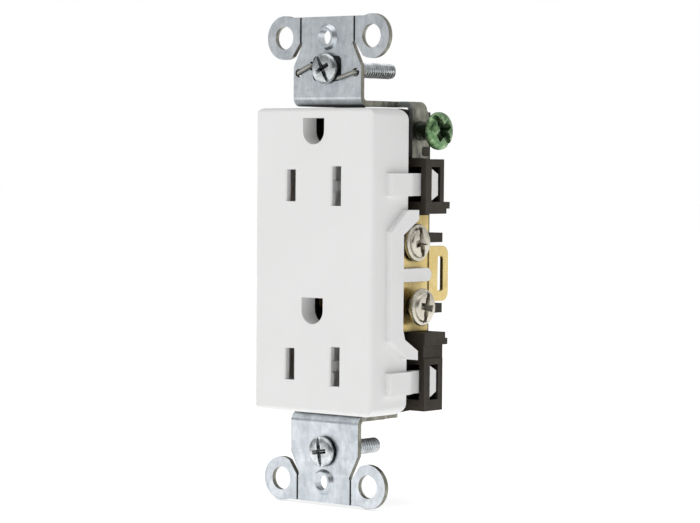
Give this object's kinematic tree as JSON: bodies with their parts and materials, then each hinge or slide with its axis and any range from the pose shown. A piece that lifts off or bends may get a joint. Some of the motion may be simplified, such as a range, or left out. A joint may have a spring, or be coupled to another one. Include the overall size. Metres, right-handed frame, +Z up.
{
  "type": "duplex wall outlet",
  "caption": "Rectangular-face duplex receptacle with grounding slots, steel strap with ears, side terminal screws and a ground screw, for a wall box.",
  "frame": {"origin": "midway between the two box screws, on the rear plane of the strap's ears that rests on the wall", "axes": "+X to the right seen from the front, +Y into the wall along the box screws, +Z up; the face looks along -Y"},
  "size_m": [0.0385, 0.0303, 0.1066],
  "materials": {
    "white_face_plastic": "satin moulded",
    "dark_nylon": "satin moulded",
    "zinc_plated_steel": "bright zinc plate",
    "spring_steel": "drawn wire",
    "brass": "stamped, satin",
    "contact_bronze": "stamped, satin",
    "nickel_screw": "nickel plate",
    "brass_screw": "brass plate",
    "green_screw": "green dyed plate",
    "zinc_screw": "zinc plate",
    "retainer_fibre": "pressed fibre"
  },
  "bodies": {
    "receptacle": {"front_cover": "white_face_plastic", "rear_body": "dark_nylon", "mounting_strap": "zinc_plated_steel", "self_ground_spring": "spring_steel", "neutral_terminal": "brass", "hot_terminal": "brass", "neutral_contact_upper": "contact_bronze", "neutral_contact_lower": "contact_bronze", "hot_contact_upper": "contact_bronze", "hot_contact_lower": "contact_bronze", "ground_contact_upper": "contact_bronze", "ground_contact_lower": "contact_bronze", "ground_contact_rivets": "spring_steel"},
    "neutral_screw_upper_body": {"neutral_screw_upper": "nickel_screw"},
    "neutral_screw_lower_body": {"neutral_screw_lower": "nickel_screw"},
    "hot_screw_upper_body": {"hot_screw_upper": "brass_screw"},
    "hot_screw_lower_body": {"hot_screw_lower": "brass_screw"},
    "ground_screw_body": {"ground_screw": "green_screw"},
    "upper_retainer_body": {"screw_retainer_upper": "retainer_fibre"},
    "upper_mounting_screw_body": {"mounting_screw_upper": "zinc_screw"},
    "lower_retainer_body": {"screw_retainer_lower": "retainer_fibre"},
    "lower_mounting_screw_body": {"mounting_screw_lower": "zinc_screw"}
  },
  "joints": [
    {"name": "neutral_screw_upper_travel", "type": "slide", "parent": "receptacle", "child": "neutral_screw_upper_body", "axis": [1, 0, 0], "range_m": [-0.0003, 0.0037]},
    {"name": "neutral_screw_lower_travel", "type": "slide", "parent": "receptacle", "child": "neutral_screw_lower_body", "axis": [1, 0, 0], "range_m": [-0.0018, 0.0022]},
    {"name": "hot_screw_upper_travel", "type": "slide", "parent": "receptacle", "child": "hot_screw_upper_body", "axis": [-1, 0, 0], "range_m": [-0.0003, 0.0037]},
    {"name": "hot_screw_lower_travel", "type": "slide", "parent": "receptacle", "child": "hot_screw_lower_body", "axis": [-1, 0, 0], "range_m": [-0.0018, 0.0022]},
    {"name": "ground_screw_travel", "type": "slide", "parent": "receptacle", "child": "ground_screw_body", "axis": [1, 0, 0], "range_m": [-0.004, 0.0015]},
    {"name": "upper_retainer_play", "type": "slide", "parent": "receptacle", "child": "upper_retainer_body", "axis": [0, -1, 0], "range_m": [0, 0.0012]},
    {"name": "upper_mounting_screw_turn", "type": "hinge", "parent": "upper_retainer_body", "child": "upper_mounting_screw_body", "pos_m": [0, 0, 0.04165], "axis": [0, 1, 0], "continuous": true},
    {"name": "lower_retainer_play", "type": "slide", "parent": "receptacle", "child": "lower_retainer_body", "axis": [0, -1, 0], "range_m": [0, 0.0012]},
    {"name": "lower_mounting_screw_turn", "type": "hinge", "parent": "lower_retainer_body", "child": "lower_mounting_screw_body", "pos_m": [0, 0, -0.04165], "axis": [0, 1, 0], "continuous": true}
  ]
}
